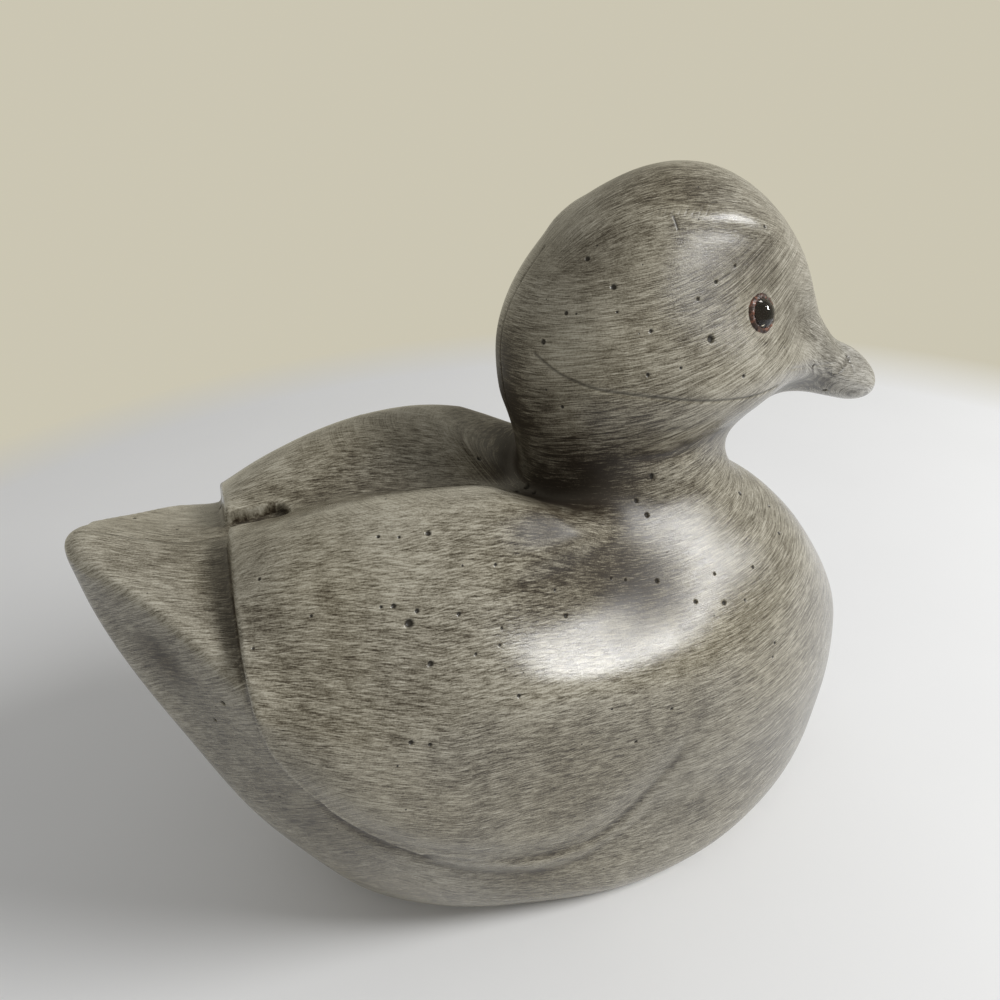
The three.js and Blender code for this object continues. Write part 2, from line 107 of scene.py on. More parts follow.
# Over how much of the width at each side a form that stands out too far is drawn in
LIMIT = 6.5

# Eyes: the socket's edge, the block that closes the head behind it, the rim under the glass's dome, the
# glass's back, the socket's floor, steps of the putty ring with a bead, and how far the ring closes in
SOCKET_EDGE = (4.3, 4.9)
EYE_BLOCK = ((6.2, -4.5), (6.2, 0.6))
GLASS_RIM = 1.0
GLASS_BACK = -0.45
SOCKET_FLOOR = -0.8
BEADS = (14, 19, 25, 33, 88, 101)
LID = 0.35

# The studio: the floor, in millimetres, fades into the backdrop between two distances; the lamp is in metres
BACKDROP = (0.6, 0.565, 0.45)
FLOOR_SIZE = 6000
FLOOR_FADE = (430, 520)
KEY_PLACE = (0.85, -0.52, 0.80)
KEY_SIZE = 0.44
KEY_POWER = 12.5
KEY_COLOUR = (0.985, 0.99, 1.0)
KEY_AIM = (0, 0, 0.08)
SKY = 0.38


# Meshes

def corners_of(node):
    """A node's welded corners in millimetres, and its faces."""
    bm = bmesh.new()
    bm.from_mesh(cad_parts[node].data)
    bmesh.ops.remove_doubles(bm, verts=bm.verts, dist=1e-6)
    bmesh.ops.triangulate(bm, faces=bm.faces)
    bm.verts.index_update()
    points = np.array([v.co for v in bm.verts]) / MM
    faces = [[v.index for v in f.verts] for f in bm.faces]
    bm.free()
    return points, faces


def new_mesh(name, points, faces, smooth=True):
    """A mesh from points in millimetres."""
    mesh = bpy.data.meshes.new(name)
    mesh.from_pydata((np.asarray(points) * MM).tolist(), [], [tuple(map(int, f)) for f in faces])
    mesh.update()
    if smooth:
        mesh.shade_smooth()
    return mesh


def new_piece(name, mesh, material=None):
    """An object in the scene, with its material."""
    piece = bpy.data.objects.new(name, mesh)
    bpy.context.scene.collection.objects.link(piece)
    if material:
        mesh.materials.append(material)
    return piece


def axis_of_eye(side):
    """Middle and outward direction of an eye, from its flat pupil."""
    points, _ = corners_of("eye_pupil_" + side)
    middle = points.mean(0)
    outward = np.linalg.svd(points - middle)[2][2]
    if outward[1] * middle[1] < 0:
        outward = -outward
    return Vector(middle), Vector(outward)


def turned(profile, around, middle, axis, closed=False):
    """Points and faces of a profile of (radius, height) turned about an axis: a solid, or a closed ring."""
    axis = Vector(axis).normalized()
    side = axis.orthogonal().normalized()
    other = axis.cross(side)
    points, faces = [], []
    for r, h in profile:
        for k in range(around):
            a = 2 * math.pi * k / around
            points.append(tuple(Vector(middle) + axis * h + (side * math.cos(a) + other * math.sin(a)) * r))
    rows = len(profile)
    for i in range(rows if closed else rows - 1):
        low, high = i * around, (i + 1) % rows * around
        for k in range(around):
            n = (k + 1) % around
            faces.append((low + k, low + n, high + n, high + k))
    if not closed:
        faces.append(tuple(range(around))[::-1])
        faces.append(tuple((rows - 1) * around + k for k in range(around)))
    return points, faces


def neck_plug():
    """An oval block that fills the joint between the castings, as the filler does."""
    around = 96
    points, faces = [], []
    for low in (True, False):
        for k in range(around):
            a = 2 * math.pi * k / around
            x = NECK_MIDDLE + (NECK_HALF_LENGTH + PLUG_MARGIN) * math.cos(a)
            y = (NECK_HALF_WIDTH + PLUG_MARGIN) * math.sin(a)
            z = SEAT_Z - PLUG_HALF_HEIGHT if low else SEAT_Z + 1 + PLUG_RISE * math.sin(a) ** 2
            points.append((x, y, z))
    points += [(NECK_MIDDLE, 0, SEAT_Z + way * PLUG_HALF_HEIGHT) for way in (-1, 1)]
    bottom, top = 2 * around, 2 * around + 1
    for k in range(around):
        n = (k + 1) % around
        faces += [(k, n, around + n, around + k), (bottom, n, k), (top, around + k, around + n)]
    return points, faces


def fused_mesh():
    """Both castings as one closed surface of even squares."""
    points, faces = [], []

    def add(more):
        start = len(points)
        points.extend(tuple(p) for p in more[0])
        faces.extend(tuple(i + start for i in f) for f in more[1])

    add(corners_of("body"))
    add(corners_of("head"))
    add(neck_plug())
    core = [(CORE_RADIUS, 0), (CORE_RADIUS, CORE_LENGTH)]
    add(turned(core, 24, (NECK_MIDDLE, 0, SEAT_Z - CORE_LENGTH / 2), (0, 0, 1)))
    for side in ("left", "right"):
        add(turned(EYE_BLOCK, 32, *axis_of_eye(side)))
    rough = new_piece("casting_rough", new_mesh("casting_rough", points, faces))
    remesh = rough.modifiers.new("remesh", "REMESH")
    remesh.mode = "VOXEL"
    remesh.voxel_size = VOXEL * MM
    remesh.adaptivity = 0
    bpy.context.view_layer.update()
    fused = bpy.data.meshes.new_from_object(rough.evaluated_get(bpy.context.evaluated_depsgraph_get()))
    bpy.data.objects.remove(rough)
    return fused


def smoothstep(low, high, values):
    t = np.clip((np.asarray(values, float) - low) / (high - low), 0, 1)
    return t * t * (3 - 2 * t)


def near(co, points, reach):
    """Distance of each corner to a set of points where within reach, and which point is nearest."""
    points = np.asarray(points, float)
    span = 4096

    def key(cells):
        return ((cells[..., 0] + 1024) * span + cells[..., 1] + 1024) * span + cells[..., 2] + 1024

    step = np.stack(np.meshgrid(*[(-1, 0, 1)] * 3), -1).reshape(-1, 3)
    cells = np.unique(np.floor(points / reach).astype(np.int64), axis=0)
    wanted = np.unique(key(cells[:, None] + step[None]))
    close = np.nonzero(np.isin(key(np.floor(co / reach).astype(np.int64)), wanted))[0]
    distance = np.full(len(co), np.inf)
    nearest = np.zeros(len(co), np.int64)
    for part in np.array_split(close, 1 + len(close) * len(points) // 3000000):
        gap = ((co[part, None] - points[None]) ** 2).sum(2)
        nearest[part] = gap.argmin(1)
        distance[part] = np.sqrt(gap.min(1))
    return np.where(distance < reach, distance, np.inf), nearest


def even_line(line, spacing):
    """The same line, smoothed, with points about spacing apart."""
    line = np.array(line)
    for _ in range(10):
        line[1:-1] = (line[:-2] + 2 * line[1:-1] + line[2:]) / 4
    way = np.concatenate([[0], np.cumsum(np.linalg.norm(np.diff(line, axis=0), axis=1))])
    even = np.linspace(0, way[-1], max(3, int(way[-1] / spacing)))
    return np.stack([np.interp(even, way, line[:, k]) for k in range(3)], 1)


class Skin:
    """A closed surface of four-sided faces as number arrays, in millimetres."""

    def __init__(self, mesh):
        count = len(mesh.vertices)
        self.co = np.empty(count * 3)
        mesh.vertices.foreach_get("co", self.co)
        self.co = self.co.reshape(-1, 3) / MM
        self.ends = np.empty(len(mesh.edges) * 2, np.int32)
        mesh.edges.foreach_get("vertices", self.ends)
        self.ends = self.ends.reshape(-1, 2)
        self.faces = np.empty(len(mesh.loops), np.int32)
        mesh.loops.foreach_get("vertex_index", self.faces)
        self.faces = self.faces.reshape(-1, 4)
        self.renew()

    def renew(self):
        """Takes the surface as it now is for tracing and for normals."""
        self.tree = BVHTree.FromPolygons(self.co.tolist(), self.faces.tolist())
        p = self.co[self.faces]
        n = np.cross(p[:, 2] - p[:, 0], p[:, 3] - p[:, 1])
        total = np.zeros_like(self.co)
        for corner in self.faces.T:
            total += np.stack([np.bincount(corner, n[:, k], len(self.co)) for k in range(3)], 1)
        self.normal = total / np.maximum(np.linalg.norm(total, axis=1), 1e-9)[:, None]

    def spread(self, values, weight, steps, drag=0.0):
        """Draws each corner's values towards its neighbours' by weight; drag carries the motion on."""
        moving = weight > 1e-3
        a, b = self.ends[moving[self.ends].any(axis=1)].T
        local = np.unique(np.concatenate([a, b]))
        index = np.zeros(len(values), np.int64)
        index[local] = np.arange(len(local))
        a, b = index[a], index[b]
        count = len(local)
        degree = np.bincount(np.concatenate([a, b]), minlength=count)[:, None]
        now = values[local].astype(float)
        pull = np.where(moving, 0.5 * weight, 0)[local][:, None]
        speed = np.zeros_like(now)
        for _ in range(steps):
            columns = [np.bincount(a, v[b], count) + np.bincount(b, v[a], count) for v in now.T]
            speed = drag * speed + pull * (np.stack(columns, 1) / degree - now)
            now = now + speed
        result = values.astype(float)
        result[local] = now
        return result

    def smooth(self, weight, steps, drag=0.0):
        """Smooths the surface and puts back what that shrinks."""
        soft = self.spread(self.co, weight, steps, drag)
        self.co = soft + self.spread(self.co - soft, weight, steps, drag)

    def near(self, points, reach):
        return near(self.co, points, reach)

    def band(self, line, width, fade=0.12, mirrored=True):
        """1 on a line, falling to 0 beside it over about width, and at its ends over the share fade."""
        line = np.array(line)
        if width > 4:
            line = even_line(line, width / 4)
        total = np.zeros(len(self.co))
        for mirror in ((1, -1) if mirrored else (1,)):
            points = line * (1, mirror, 1)
            distance, nearest = self.near(points, 2.6 * width)
            close = np.nonzero(np.isfinite(distance))[0]
            place = self.co[close]
            best = np.full(len(close), np.inf)
            share = np.zeros(len(close))
            for shift in (-1, 0):
                start = np.clip(nearest[close] + shift, 0, len(points) - 2)
                way = points[start + 1] - points[start]
                t = ((place - points[start]) * way).sum(1) / np.maximum((way ** 2).sum(1), 1e-9)
                t = np.clip(t, 0, 1)
                gap = np.linalg.norm(place - points[start] - way * t[:, None], axis=1)
                share = np.where(gap < best, (start + t) / (len(points) - 1), share)
                best = np.minimum(gap, best)
            ends = smoothstep(0, fade, share) * smoothstep(0, fade, 1 - share) if fade else 1.0
            total[close] = np.maximum(total[close], np.exp(-((best / width) ** 2)) * ends)
        return total

    def push(self, band, amount):
        """Raises the surface along its normals, or sinks it."""
        self.co += (amount * band)[:, None] * self.normal

    def seen_at(self, px, py):
        """The place on the surface that a point of the photograph shows."""
        across = (px - FRAME_PIXELS / 2) / (FOCAL_SHARE * FRAME_PIXELS)
        down = (py - FRAME_PIXELS / 2) / (FOCAL_SHARE * FRAME_PIXELS)
        way = CAMERA_FORWARD + CAMERA_RIGHT * across - CAMERA_UP * down
        return self.tree.ray_cast(Vector(CAMERA_PLACE), way.normalized())[0]

    def trace(self, *knots, step=1.6):
        """A smooth line through points of the photograph, laid on the surface."""
        knots = [Vector((*k, 0)) for k in knots]
        ends = [2 * knots[0] - knots[1], *knots, 2 * knots[-1] - knots[-2]]
        found = []
        for p0, p1, p2, p3 in zip(ends, ends[1:], ends[2:], ends[3:]):
            count = max(2, int((p2 - p1).length / step))
            for k in range(count + 1):
                t = k / count
                q = 2 * p1 + (p2 - p0) * t
                q += (2 * p0 - 5 * p1 + 4 * p2 - p3) * t ** 2 + (3 * p1 - p0 - 3 * p2 + p3) * t ** 3
                found.append(self.seen_at(q.x / 2, q.y / 2))
        return [p for p in found if p is not None]


def sharp_edges(node, angle, keep):
    """Points along a node's sharp edges, where keep says so."""
    bm = bmesh.new()
    bm.from_mesh(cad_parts[node].data)
    bmesh.ops.remove_doubles(bm, verts=bm.verts, dist=1e-6)
    points = []
    for edge in bm.edges:
        if len(edge.link_faces) == 2 and edge.calc_face_angle(0) > angle:
            a, b = (v.co / MM for v in edge.verts)
            if keep((a + b) / 2):
                count = max(1, int((b - a).length))
                points += [a.lerp(b, k / count) for k in range(count + 1)]
    bm.free()
    return points


def neck_terms(co):
    """Where corners lie round the neck: angle from the front, and millimetres outside its outline."""
    along = (co[:, 0] - NECK_MIDDLE) / NECK_HALF_LENGTH
    across = co[:, 1] / NECK_HALF_WIDTH
    return np.degrees(np.arctan2(np.abs(across), along)), (np.hypot(along, across) - 1) * NECK_SPAN


def flare_neck(skin):
    """Lowers the shoulders towards the neck's foot, and draws a film between the neck and them."""
    angle, out = neck_terms(skin.co)
    over = skin.co[:, 2] - (SEAT_Z + 0.5 + np.interp(angle, *SHOULDER_SLOPE) * np.maximum(out, 0))
    weight = smoothstep(-0.2, 0.3, skin.normal[:, 2]) * smoothstep(-3, 0, out)
    weight *= (skin.co[:, 2] < SHOULDER_TOP) * (out < SHOULDER_REACH)
    skin.co[:, 2] -= weight * 0.5 * (over + np.sqrt(over ** 2 + 6))
    angle, out = neck_terms(skin.co)
    reach = np.interp(angle, *FILM_REACH)
    top = np.interp(angle, *FILM_TOP)
    level = (skin.co[:, 2] > FILM_HEIGHTS[0]) & (skin.co[:, 2] < FILM_HEIGHTS[1])
    free = (out > FILM_INSIDE) & (out < reach) & (skin.co[:, 2] < top) & level
    skin.co = skin.spread(skin.co, free.astype(float), 260, 0.94)
    angle, out = neck_terms(skin.co)
    behind = np.interp(angle, (75, 110), (0, 1))
    soft = smoothstep(-9 - 12 * behind, -4 - 6 * behind, out) * (1 - smoothstep(reach + 4, reach + 12, out))
    above = smoothstep(top - 1 + 14 * behind, top + 6 + 22 * behind, skin.co[:, 2])
    soft *= (skin.co[:, 2] > FILM_HEIGHTS[0]) * (1 - above)
    low = 1 - smoothstep(127, 132, skin.co[:, 2])
    soft *= 1 - low * np.interp(angle, (120, 150, 180), (0, 0.85, 0.9))
    skin.co = skin.spread(skin.co, soft, 60, 0.8)
    skin.renew()


def halfway(place):
    """The way a surface faces at a place where the camera sees the key lamp in it."""
    way = (np.array(KEY_PLACE) / MM - place, np.array(CAMERA_PLACE) - place)
    total = sum(v / np.linalg.norm(v) for v in way)
    return total / np.linalg.norm(total)


def shape_rim(skin):
    """Raises the shoulder's rim round its hollow, by soft bumps that turn the surface to chosen facings."""

    def place_and_normal(px, py):
        place = skin.seen_at(px, py)
        normal = skin.normal[skin.faces[skin.tree.find_nearest(place)[2]]].mean(0)
        return np.array(place), normal / np.linalg.norm(normal)

    wanted = []
    for pixel in even_line([(*p, 0) for p in RIM_LINE], 7)[:, :2]:
        place, normal = place_and_normal(*pixel)
        facing = halfway(place)
        wanted.append((place, normal, facing, 1.0))
        across = np.array(RIM_CENTRE) - pixel
        far = np.linalg.norm(across)
        inner, inner_normal = place_and_normal(*(pixel + across / far * min(RIM_INSIDE, 0.55 * far)))
        inward = inner - place - facing * ((inner - place) @ facing)
        wanted.append((inner, inner_normal, facing + 0.2 * inward / np.linalg.norm(inward), 0.25))
        outside = pixel - across / far * RIM_OUTSIDE
        if skin.seen_at(*outside) is not None:
            outer, outer_normal = place_and_normal(*outside)
            wanted.append((outer, outer_normal, outer_normal, 0.3))
    for place, normal in (place_and_normal(*pixel) for pixel in RIM_STILL):
        wanted.append((place, normal, normal, 0.3))
    for place, normal in (place_and_normal(*pixel) for pixel in RIM_TURNED_BACK):
        wanted.append((place, normal, normal + np.array((-0.2, 0, 0)), 0.3))

    centres = [skin.seen_at(*pixel) for pixel in RIM_BUMPS]
    centres = np.array([c for c in centres if c and c.y < -2 and c.x > -40 and c.z < 132])
    rows, sides = [], []
    for place, normal, facing, weight in wanted:
        gap = place - centres
        slope = gap / RIM_BUMP ** 2 * np.exp(-(gap ** 2).sum(1) / (2 * RIM_BUMP ** 2))[:, None]
        facing = facing / np.linalg.norm(facing)
        turn = (facing - normal * (facing @ normal)) / max(facing @ normal, 0.3)
        first = np.cross(normal, (0, 0, 1))
        for way in (first / np.linalg.norm(first), np.cross(normal, first / np.linalg.norm(first))):
            rows.append(slope @ way * weight)
            sides.append(turn @ way * weight)
    rows += list(RIM_CALM * np.eye(len(centres)))
    heights = np.linalg.lstsq(np.array(rows), np.array(sides + [0] * len(centres)), rcond=None)[0]

    folded = np.stack([skin.co[:, 0], -np.abs(skin.co[:, 1]), skin.co[:, 2]], 1)
    raised = np.zeros(len(skin.co))
    close = np.nonzero((folded[:, 0] > centres[:, 0].min() - 25) & (folded[:, 2] < 134))[0]
    for part in np.array_split(close, 20):
        gap = folded[part, None] - centres[None]
        raised[part] = np.exp(-(gap ** 2).sum(2) / (2 * RIM_BUMP ** 2)) @ heights
    raised *= (1 - smoothstep(124, 132, skin.co[:, 2])) * smoothstep(0, 6, -folded[:, 1])
    skin.co += raised[:, None] * skin.normal
    skin.renew()


def sink_eye_sockets(skin):
    """Pockets in the head that hold the eyes; the share returned paints them black as painted shade."""
    deep = np.zeros(len(skin.co))
    for side in ("left", "right"):
        middle, outward = (np.array(v) for v in axis_of_eye(side))
        gap = skin.co - middle
        height = gap @ outward
        radius = np.linalg.norm(gap - height[:, None] * outward, axis=1)
        share = (1 - smoothstep(*SOCKET_EDGE, radius)) * (np.abs(height) < 5)
        skin.co -= (share * np.maximum(height - SOCKET_FLOOR, 0))[:, None] * outward
        deep = np.maximum(deep, share)
    return deep


def model_casting():
    """The two castings' common surface in its broad forms, and how deep each corner is in a socket."""
    skin = Skin(fused_mesh())

    def crisp_at(p):
        return p.z < BASE_TOP or (p.x < TAIL_FRONT and p.z > TAIL_BOTTOM)

    edges = sharp_edges("body", math.radians(CRISP_ANGLE), crisp_at)
    crisp, _ = skin.near(edges, CRISP_REACH)
    skin.co = skin.spread(skin.co, np.ones(len(skin.co)), 4)
    skin.smooth(0.06 + 0.94 * smoothstep(0.8, 5, np.minimum(crisp, CRISP_REACH)), 16, 0.8)
    flare_neck(skin)
    shape_rim(skin)
    for line, width, amount, fade in BROAD_FORMS:
        skin.push(skin.band(skin.trace(*line), width, fade), amount)
        skin.renew()
    widest = cad_box[1][1] / MM
    wide = np.abs(skin.co[:, 1]) - (widest - LIMIT)
    limited = widest - LIMIT + LIMIT * np.tanh(wide / LIMIT)
    skin.co[:, 1] = np.where(wide > 0, np.sign(skin.co[:, 1]) * limited, skin.co[:, 1])
    skin.co = np.clip(skin.co, np.array(cad_box[0]) / MM, np.array(cad_box[1]) / MM)
    deep = sink_eye_sockets(skin)
    skin.renew()
    return skin, deep


# Forms that the photograph shows, by lines in it
WING_GROOVE = (
    (262, 715), (290, 770), (340, 820), (400, 850), (470, 862), (540, 858), (600, 835), (650, 790),
    (690, 740), (702, 700),
)
BROW = ((553, 251), (578, 231), (628, 216), (674, 213.5), (704, 217), (739, 218.5), (790, 240))
JOWL = ((706, 443), (697, 447), (667, 456), (640, 459), (615, 462))
# In the photograph: the bright rim of the shoulder, and the middle of the hollow inside it
RIM_LINE = (
    (668, 497), (690, 512), (712, 540), (732, 570), (738, 597), (729, 627), (706, 650), (674, 665),
    (632, 675), (587, 680), (542, 680),
)
RIM_CENTRE = (612, 588)
# Pixels from the rim to where the hollow's side leans inwards, and to where the breast keeps its facing
RIM_INSIDE = 42
RIM_OUTSIDE = 95
# Pixels round the hollow that keep their facing, some above it that turn a little back, and bumps' middles
RIM_STILL = (
    [(px, 500) for px in range(540, 640, 20)]
    + [(500, py) for py in range(520, 740, 20)]
    + [(px, 735) for px in range(500, 760, 20)]
)
RIM_TURNED_BACK = [(px, py) for px in range(540, 590, 12) for py in (526, 538)]
RIM_BUMPS = [(px, py) for px in range(480, 800, 22) for py in range(500, 750, 22)]
# The bumps' width in millimetres, and how strongly they are kept low
RIM_BUMP = 10.0
RIM_CALM = 0.25
# Line, width in millimetres, how far raised, and over what share of it each end fades
BROAD_FORMS = (
    (WING_GROOVE, 6, -1.3, 0.25),
    (WING_GROOVE, 2.2, -0.5, 0.25),
    (BROW, 3, 0.7, 0.15),
    (JOWL, 2.6, -0.9, 0.35),
)

# Fine marks: line in the photograph, depth and width in millimetres, how dark, and whether on both sides
CHEEK_LINE = (
    (535, 354), (554, 370), (569, 378.5), (595, 389), (623, 394), (659, 398), (692, 401), (717, 401),
    (745, 398), (763, 393), (777, 386),
)
BILL_LINE = ((792, 369), (815, 366), (840, 363), (858, 361))
NICK = ((674, 217), (676, 223), (678, 229))
CHISEL_MARKS = [((651 + 7 * k, 214.5), (654 + 7 * k, 208 - k % 3)) for k in range(9)]
FINE_LINES = [
    (CHEEK_LINE, 0.3, 0.42, 0.55, True),
    (BILL_LINE, 0.15, 0.4, 0.15, True),
    (NICK, 0.12, 0.3, 0.9, False),
] + [(mark, 0.06, 0.25, 0.35, False) for mark in CHISEL_MARKS]

# Parting lines in the middle plane: from where, to where and which way one looks to find them, then depth,
# width and darkness
PARTING_LINES = (
    ((0, 0, 148), (0, 0, 192), (1, 0, 0), 0.22, 0.4, 0.4),
    ((-66, 0, 0), (-4, 0, 0), (0, 0, -1), 0.2, 0.4, 0.35),
    ((-121, 0, 0), (-74, 0, 0), (0, 0, -1), 0.2, 0.45, 0.4),
)

# Pits: place in the photograph, and radius in millimetres
PITS = (
    (711, 339, 0.95), (543, 342, 0.7), (409, 623.5, 1.0), (417, 611, 0.55), (393.5, 606, 0.6),
    (381, 607, 0.4), (459, 614, 0.5), (502, 628, 0.4), (500, 645, 0.4), (476, 654, 0.4), (519, 696, 0.5),
    (311, 616, 0.4), (259, 579, 0.45), (378, 536.5, 0.45), (399, 537, 0.4), (566, 313, 0.55),
    (651, 331, 0.5), (617, 312, 0.35), (735, 266, 0.4), (698, 299, 0.45), (648, 375, 0.5),
    (681, 368, 0.4), (562, 407, 0.5), (647, 515, 0.6), (657, 581, 0.55), (566, 616, 0.55),
    (753, 567, 0.5), (769, 506, 0.5), (779, 533, 0.55), (775, 643, 0.5), (773, 657, 0.4), (745, 600, 0.4),
    (555, 590, 0.4), (411, 743, 0.6), (430, 745, 0.5), (636, 742, 0.5), (672, 709, 0.5), (215, 720, 0.6),
    (527, 487, 0.8), (534, 493, 0.6),
)
SCATTERED_PITS = 110
SCATTERED_SIZES = (0.35, 0.75)

# Darker and paler places of the wash: place in the photograph, radius in millimetres, and strength. Some
# darker ones are the wash's own stain, as on the head and the flank; round the neck's foot they are stain and
# painted shade together; the rest are painted shade, on the nape, the crown, the face and bill, the
# shoulder's hollow, the wing's rear step, the slot, the belly and the tail's underside. Paler ones are wear
# on the wing, and painted highlight on the head's side, the shoulder's rim and the tail's facet
WASH_AND_SHADING = (
    (590, 262, 9, 0.4), (640, 300, 9, 0.1), (560, 440, 15, 0.65), (640, 435, 12, 0.5),
    (600, 480, 13, 1.3), (540, 495, 10, 1.3), (560, 535, 13, 0.9), (620, 570, 13, 1.1),
    (655, 590, 8, 0.5), (640, 180, 14, 0.6), (700, 185, 12, 0.5), (765, 265, 9, 0.6), (470, 740, 11, 0.2),
    (600, 720, 9, 0.25), (655, 735, 12, 0.3), (250, 620, 5, 0.5), (268, 520, 5, 0.6), (330, 830, 14, 0.4),
    (508, 402, 11, 2.3), (505, 345, 8, 1.2), (390, 560, 15, -0.55), (235, 560, 6, -0.4),
    (700, 300, 13, 0.6), (830, 370, 12, 0.6), (600, 655, 9, -0.2), (780, 560, 12, 0.15),
    (570, 320, 7, -0.2), (560, 350, 6, -0.3), (165, 660, 9, 1.1), (545, 528, 7, 0.6), (520, 880, 14, 0.4),
    (175, 580, 9, -0.4), (700, 770, 12, 0.1), (620, 400, 9, 0.2),
)

# Where strokes change their way, each from nothing to in full: up to the head, up to the crown, forward and
# up to the bill, and back to the tail's rear face
HEAD_LIFT = (136, 150)
CROWN_LIFT = (182, 198)
BILL_START = (68, 84)
BILL_LIFT = (124, 134)
REAR_END = (-40, -20)
# How far out from the neck strokes run round it, by angle from the front, and over how much that fades
RING_REACH = ((0, 60, 100, 140, 165, 180), (200, 120, 22, 14, 4, 0))
RING_FADE = 22.0
# Radius of the body and of the crown, the height of their middles (the body's by place along it), the height
# over which the crown's strokes are used and not the bill's, and the place behind which the tail's are
GIRTH_RADIUS = 55.0
GIRTH_MIDDLE = ((-124, -45), (86, 60))
CROWN_RADIUS = 34.0
CROWN_MIDDLE = 168.0
BILL_TOP = 165.0
REAR_FRONT = -15.0

# Brush strokes, in millimetres, and how far the second layer leans over the first
STROKE_LENGTH = 3.8
STROKE_WIDTH = 0.26
CROSS_SLOPE = 0.17


def hollowness(skin, steps, scale):
    """How far the surface around each corner stands above it, as a share of scale."""
    soft = skin.spread(skin.co, np.ones(len(skin.co)), steps, 0.8)
    return ((soft - skin.co) * skin.normal).sum(1) / scale


def grain(along, across):
    """Coordinates that lie in the surface, in which a brush stroke is as long as it is wide."""
    return np.stack([along / STROKE_LENGTH, across / STROKE_WIDTH, np.zeros(len(along))], 1)


def paint_guides(skin, deep):
    """What the resin's material needs to know at each corner."""
    co = skin.co
    folded = np.stack([co[:, 0], -np.abs(co[:, 1]), co[:, 2]], 1)
    # Darker and paler places: the wash's stain, with painted shade and painted highlight at many of them
    wash_and_shading = np.zeros(len(co))
    for px, py, radius, strength in WASH_AND_SHADING:
        wash_and_shading += strength * np.exp(-((folded - np.array(skin.seen_at(px, py))) ** 2).sum(1) / radius ** 2)
    x, y, z = co.T
    angle, out = neck_terms(co)
    turn = np.arctan2(y, x - NECK_MIDDLE)
    rings = np.interp(angle, *RING_REACH)
    lifted = smoothstep(*HEAD_LIFT, z)
    ringed = lifted + (1 - lifted) * (1 - smoothstep(rings, rings + RING_FADE, out))
    high = np.maximum(smoothstep(*CROWN_LIFT, z), smoothstep(*BILL_START, x) * smoothstep(*BILL_LIFT, z))
    ringed *= 1 - high
    rear = smoothstep(0.3, 0.6, -skin.normal[:, 0]) * (1 - smoothstep(*REAR_END, x))
    girth = GIRTH_RADIUS * np.arctan2(y, z - np.interp(x, *GIRTH_MIDDLE))
    over = CROWN_RADIUS * np.arctan2(y, z - CROWN_MIDDLE)
    crown = np.where(z[:, None] > BILL_TOP, grain(x, over), grain(x, y + 0.8 * z))
    return {
        # mark starts as the eye pockets' share, which paints them black as painted shade
        "fine": hollowness(skin, 6, 0.25), "broad": hollowness(skin, 60, 2.0), "wash_and_shading": wash_and_shading, "mark": deep,
        "share": np.stack([(1 - high - ringed) * (1 - rear), high + rear, ringed], 1),
        "side_grain": grain(x, girth),
        "crown_grain": np.where(x[:, None] > REAR_FRONT, crown, grain(y, z - 0.6 * x)),
        "ring_grain": grain((20 + 0.5 * np.maximum(out, 0)) * turn, 0.8 * (out - z)),
    }


def middle_line(skin, start, end, way):
    """A line over the surface in the middle plane, found by looking along way, from start to end."""
    found = []
    for t in np.linspace(0, 1, 40):
        place = skin.tree.ray_cast(Vector(start).lerp(Vector(end), t) - Vector(way) * 200, Vector(way))[0]
        wander = 0.35 * math.sin(9 * t) + 0.2 * math.sin(31 * t)
        found.append(place + Vector((0, wander, 0)))
    return found


